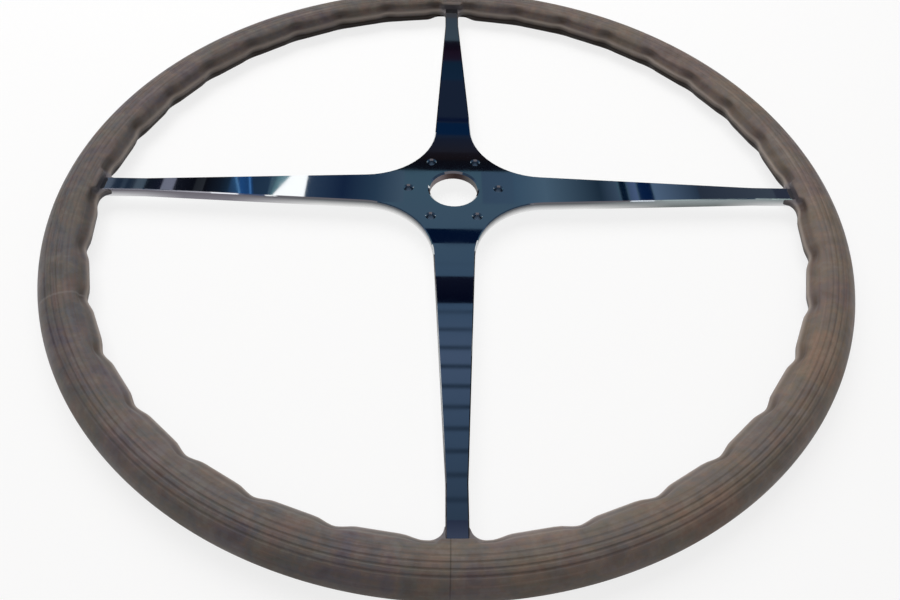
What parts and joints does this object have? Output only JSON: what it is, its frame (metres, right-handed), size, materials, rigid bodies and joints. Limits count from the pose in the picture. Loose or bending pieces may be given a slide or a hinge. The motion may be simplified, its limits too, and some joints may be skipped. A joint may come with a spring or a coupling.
{
  "type": "boat steering wheel",
  "caption": "Boat steering wheel with a flat polished metal spider of tapering arms and a moulded oval rim that has finger bumps inside and grooves round its crown.",
  "frame": {"origin": "centre of the hub bore, halfway through the plate of the spider", "axes": "+Z along the bore axis towards the helmsman, +X and +Y along arms, with the arm that is nearest in the picture along -Y"},
  "size_m": [0.4319, 0.4318, 0.0196],
  "materials": {
    "grip": "mottled grey-brown moulding with a soft sheen",
    "polished_metal": "mirror polish"
  },
  "bodies": {
    "root": {"grip_rim": "grip", "spider": "polished_metal"}
  },
  "joints": []
}
